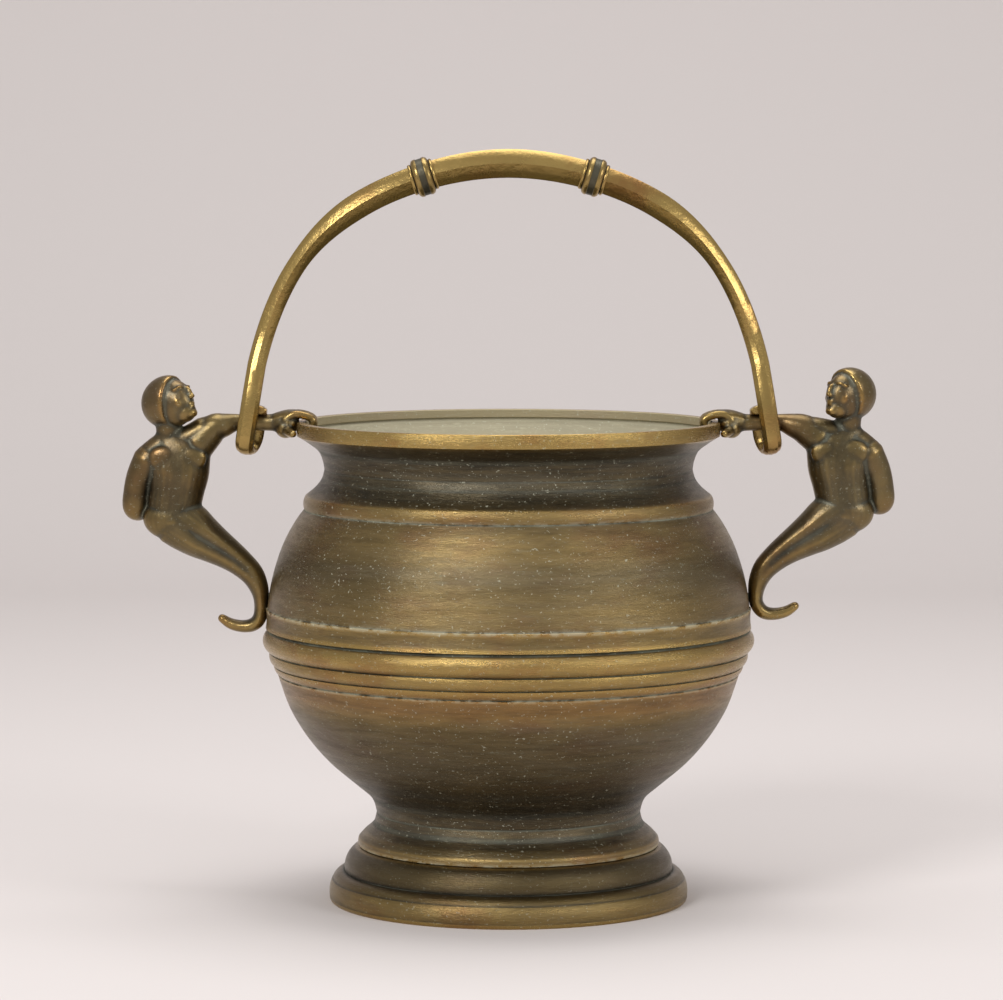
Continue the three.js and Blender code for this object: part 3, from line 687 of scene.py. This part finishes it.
def sweep(stations, across_at):
    """Rings of the bar, square to its direction, with across_at giving the width's direction."""
    rings = []
    for index, station in enumerate(stations):
        before = stations[max(index - 1, 0)][0]
        after = stations[min(index + 1, len(stations) - 1)][0]
        along = (after - before) / np.linalg.norm(after - before)
        across = across_at(along)
        depthways = np.cross(along, across)
        rings.append(bail_ring(station, across, depthways / np.linalg.norm(depthways)))
    return rings


def in_plane(along):
    """The direction across the bar within the arch's plane."""
    across = np.array([-along[2], 0, along[0]])
    return across / np.linalg.norm(across)


leg_angle = math.radians(LEG_ANGLE)
arch = [arch_station(t) for t in np.linspace(math.pi - leg_angle, leg_angle, 120)]
down_leg = np.array([EYE_X, 0, 0]) - arch[-1][0]
down_leg[1] = 0
down_leg /= np.linalg.norm(down_leg)
eye_across = np.array([-down_leg[2], 0, down_leg[0]])
right_eye = sweep(eye_stations(down_leg, eye_across), lambda along: eye_across)
left_eye = [ring * [-1, 1, 1] for ring in right_eye[::-1]]
rings = [ring + [0, 0, AXIS_HEIGHT] for ring in [*left_eye, *sweep(arch, in_plane), *right_eye]]
bar = make("bail_bar", *skin(rings), 22)
mark_relief(bar, 4, 0.0004)
place(bar, bail_metal, "bail", "bail", "bail")

# A knop's section: two beads with a groove between them and a collar at each end
knop_outline = [
    (0, -6.2), *arc((7.3, -6.2), (7.4, -4.6), 0.5, 4), *arc((8.0, -4.4), (9.6, -1.7), 0.6, 6),
    (9.3, -1.4), (9.3, 1.4), *arc((9.6, 1.7), (8.0, 4.4), 0.6, 6),
    *arc((7.4, 4.6), (7.3, 6.2), 0.5, 4), (0, 6.2),
]
for side, name in ((-1, "bail_knop_left"), (1, "bail_knop_right")):
    angle = math.acos(side * KNOP_X / EYE_X)
    centre = arch_station(angle)[0] + [0, 0, AXIS_HEIGHT]
    step = arch_station(angle - 0.02)[0] - arch_station(angle + 0.02)[0]
    knop = lathe(name, knop_outline, 35)
    knop.data.transform(
        Matrix.Translation(centre / 1000)
        @ Matrix.Rotation(math.atan2(step[0], step[2]), 4, "Y")
        @ Matrix.Diagonal((1, 0.9, 1, 1))
    )
    mark_relief(knop, 3, 0.0003)
    place(knop, bail_metal, "bail", "bail")

# Figures


def figure(name, side, lift, head_tilt, head_turn, hook_lift):
    """A cast figure at the rim, made on the +X side and mirrored when side is -1.

    lift raises its body and hook_lift its tail's end. The arm and the hand stay at the axis height.
    """
    form = Form()

    def arm(out, back, up):
        return np.array([RIM_RADIUS + out, back, AXIS_HEIGHT + up])

    def upper(out, back, up):
        return arm(out, back, up + lift)

    def lower(out, back, up):
        return np.array([BAND_RADIUS + out, back, BAND_TOP + up + lift])

    def hook(out, back, up):
        return lower(out, back, up + hook_lift)

    def at(point):
        return Matrix.Translation(Vector(point))

    # Torso with a slight cleft down the front and the back
    form.limb([
        (upper(63, 0, -6.5), 9.5, 6.5), (upper(60.5, 0, -13.5), 17, 9.4, 0.06),
        (upper(59, 0, -22.5), 15.6, 10.8, 0.1), (upper(60, 0, -32), 14, 9.8, 0.07),
        (upper(61.3, 0, -41), 13.3, 9.9, 0.04), (upper(61, 0, -48), 12.6, 10.4),
    ])
    # Two legs grown together, ending in an upturned tail
    form.limb([
        (upper(60.5, 0, -47), 13.2, 10.2, 0), (upper(54.2, 0, -51.2), 12.9, 11.2, 0.1),
        (upper(48.4, 0, -55.4), 11.6, 11.5, 0.18), (upper(41.2, 0, -60), 9.6, 10.3, 0.18),
        (upper(34.4, 0, -64.4), 8, 9.1, 0.16), (lower(13, 0, 23.3), 6.8, 8.1, 0.12),
        (lower(7.3, 0, 17.6), 5.9, 7.5, 0.06), (lower(3.9, 0, 10.6), 4.7, 6.9),
        (lower(2.9, 0, 3.8), 3.7, 6.5), (hook(3.6, 0, -2.6), 3.5, 6.1),
        (hook(6.8, 0, -6.4), 3.4, 5.5), (hook(12, 0, -7.4), 3.1, 4.7),
        (hook(18, 0, -6.2), 2.8, 3.9), (hook(22.6, 0, -3.4), 2.2, 3),
    ], 90)
    # Flat chest and hips
    for shift in (-6, 6):
        form.ball((8.6, 2.9, 6.4), at(upper(59.2 + shift, -6.5, -16.2)))
    form.ball((14.8, 10.2, 11), at(upper(62.2, 0, -46.5)))

    # Slopes from the neck to both shoulders, and the neck
    form.limb([
        (upper(61, 0, -7), 6, 6), (upper(67, 0.2, -10), 6.4, 6.2),
        (upper(72, 0.4, -14.5), 7, 6.8),
    ])
    form.limb([
        (upper(61, 0, -9.5), 7.4, 6.6), (upper(54, 0, -6.6), 6.6, 6.6),
        (arm(46, 0, -3.8), 6.8, 6.8),
    ])
    form.limb([
        (upper(63, 0.5, -11), 7.4, 6.8), (upper(63.6, 0, -4.5), 6.4, 6.2),
        (upper(64, -0.4, 3), 6.6, 6.6),
    ])

    # Arm to the rim, round where the bail's eye turns on it
    form.limb([
        (upper(49, 0, -9.5), 8.5, 8.2), (arm(41.5, 0, -3.2), 7.4, 7.2),
        (arm(35.5, 0, -1.2), 5.9, 5.9), (arm(30.6, 0, 0), 4.4, 4.4),
        *[(arm(out, 0, 0), ARM_RADIUS, ARM_RADIUS) for out in (27.5, 20, 16)],
        (arm(12, 0, 0), 4.3, 4.5),
    ], 60)

    # Resting arm, with the forearm behind the back
    form.limb([
        (upper(73.8, 0, -17.2), 8.1, 7.8), (upper(78.2, 1, -25), 6.9, 7),
        (upper(80.4, 1.8, -33), 6.4, 6.4), (upper(80.9, 3.4, -41), 6.4, 6.4),
        (upper(77.6, 9, -42.4), 5.5, 5.1), (upper(69, 12.2, -39), 4.9, 4.5),
        (upper(61, 12.4, -35), 4.3, 3.7), (upper(56, 12, -33.4), 4.5, 3.1),
    ], 60)

    # Palm, heel, fingers over the rim, thumb and back of the hand
    def grip(out, across, up):
        return np.array([RIM_RADIUS + out, across, RIM_TOP + up])

    form.limb([
        (grip(12, 0, -0.7), 4.2, 4.3), (grip(7.5, 0, -0.9), 5.2, 6.6),
        (grip(3.9, 0, -1.1), 5.6, 8),
    ])
    form.ball((5.2, 7, 5.2), at(grip(5.4, -1, -3.4)))
    for row in (-1.5, -0.5, 0.5, 1.5):
        across = row * 3.7
        curl = 1 - 0.12 * abs(row)
        form.limb([
            (grip(5, across, 0.8), 2.1, 2.0), (grip(1, across, 3.5), 2.1, 1.9),
            (grip(-4.4, across, 3.0), 2.0, 1.9), (grip(-8.4, across, 0.8), 2.0, 1.8),
            (grip(-9.4 * curl, across, -4 * curl), 1.6, 1.6),
        ], 30, 16)
    form.limb([
        (grip(5, -4, -3), 2.8, 2.8), (grip(3, -9, -5.2), 2.4, 2.5),
        (grip(1, -14, -5.6), 1.9, 2),
    ])
    form.limb([
        (grip(10, 0, 0.6), 3.6, 5), (grip(4.5, 0, 2.4), 3.4, 7),
        (grip(0.2, 0, 3.3), 2.6, 7.2),
    ])

    # Head, with plain even features and a close cap of hair
    centre = upper(63.4 + 0.4 * side, -1, 11.8 + 0.4 * side)
    frame_of_head = (
        at(centre)
        @ Matrix.Rotation(-math.radians(head_turn), 4, "Z")
        @ Matrix.Rotation(-math.radians(head_tilt), 4, "X")
        @ Matrix.Diagonal((1.02, 1.1, 1, 1))
    )

    def part(halves, place_in_head, cut=None):
        form.ball(halves, frame_of_head @ at(place_in_head), cut)

    # Skull, jaw and chin
    part((8.4, 10.6, 12.2), (0, -1.4, -1))
    part((5.6, 5.4, 5), (0, -5.4, -8.4))
    part((3.2, 2.2, 2.2), (0, -8.9, -10.8))

    # Nose and its tip, upper and lower lip
    part((1.2, 2.1, 3.6), (0, -11.5, -0.8))
    part((1.7, 1.6, 1.2), (0, -12.3, -3.3))
    part((2.5, 1.1, 0.7), (0, -10.7, -6.3))
    part((2.1, 1.1, 0.7), (0, -10.4, -7.8))

    # Brow, its outer end, eyelid and cheek on both sides
    for half in (-1, 1):
        part((2.3, 1.5, 0.9), (3.1 * half, -10, 3.1))
        part((1.8, 1.4, 0.8), (5.2 * half, -8.6, 2.6))
        part((1.6, 1.3, 0.9), (3.4 * half, -9.7, 0.7))
        part((3.4, 2.2, 3.6), (3.8 * half, -7.2, -3.4))

    def hair(direction):
        """Full size behind a slanting hairline, and sunk under the face in front of it."""
        behind = direction[1] + 0.55 - 0.5 * (0.45 - direction[2])
        return 0.84 + 0.16 * smoothstep(behind, -0.06, 0.02)

    part((11.2, 13, 13), (0, 1, 1.2), hair)
    return form.melt(name, side < 0, MELT_ROUNDS)


left = figure("left_statuette", -1, -1.5, 29, 58, -1)
right = figure("right_statuette", 1, 1.5, 17, 49, 2.2)
for piece, node in ((left, "left_figure"), (right, "right_figure")):
    mark_relief(piece, 14, 0.00045)
    place(piece, figure_metal, "pot", "figure", node)

for node in ("left_tail_rivet", "right_tail_rivet"):
    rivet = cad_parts[node]
    rivet.data.materials.clear()
    rivet.data.materials.append(rivet_metal)

# Floor, backdrop and light

floor_rows = [(FLOOR_FRONT, 0), (FLOOR_BACK, 0)]
for angle in np.linspace(0.1, math.pi / 2, 12):
    row_back = FLOOR_BACK + CURVE_RADIUS * math.sin(angle)
    floor_rows.append((row_back, CURVE_RADIUS * (1 - math.cos(angle))))
floor_rows.append((FLOOR_BACK + CURVE_RADIUS, BACKDROP_TOP))
corners = [(x, y, z) for y, z in floor_rows for x in (-FLOOR_HALF, FLOOR_HALF)]
faces = [[2 * row, 2 * row + 1, 2 * row + 3, 2 * row + 2] for row in range(len(floor_rows) - 1)]
floor = make("floor", corners, faces)
paper = Nodes("paper")
shader = paper.tree.nodes.new("ShaderNodeBsdfDiffuse")
shader.inputs["Color"].default_value = (0.675, 0.63, 0.618, 1)
paper.tree.links.new(shader.outputs[0], paper.out.inputs["Surface"])
floor.data.materials.append(paper.material)

world = bpy.data.worlds.new("studio")
bpy.context.scene.world = world
world.use_nodes = True
background = world.node_tree.nodes["Background"]
background.inputs["Color"].default_value = (1, 0.985, 0.97, 1)
background.inputs["Strength"].default_value = 0.55


def soft_light(name, place_at, size, power):
    """A square lamp turned towards the pot. Places and sizes are in metres, power in watts."""
    lamp = bpy.data.lights.new(name, "AREA")
    lamp.size = size
    lamp.energy = power
    light = bpy.data.objects.new(name, lamp)
    light.location = place_at
    towards_pot = Vector((0, 0, 0.15)) - light.location
    light.rotation_euler = towards_pot.to_track_quat("-Z", "Y").to_euler()
    bpy.context.scene.collection.objects.link(light)


soft_light("key", (-1.1, -1.7, 1.5), 0.7, 26)
soft_light("fill", (1.7, -1.3, 1.1), 0.7, 12)
soft_light("top", (0.1, 0.3, 2.1), 1.4, 22)

# Camera

camera_data = bpy.data.cameras.new("camera")
camera_data.sensor_width = 36
camera_data.lens = camera_data.sensor_width * FOCAL_PIXELS / PHOTO_WIDTH
camera = bpy.data.objects.new("camera", camera_data)
camera.location = (-0.0035, -2.095, 0.3715)
camera.rotation_euler = (math.radians(90 - CAMERA_DROP), 0, 0)
bpy.context.scene.collection.objects.link(camera)
bpy.context.scene.camera = camera
bpy.context.scene.view_settings.view_transform = "Standard"
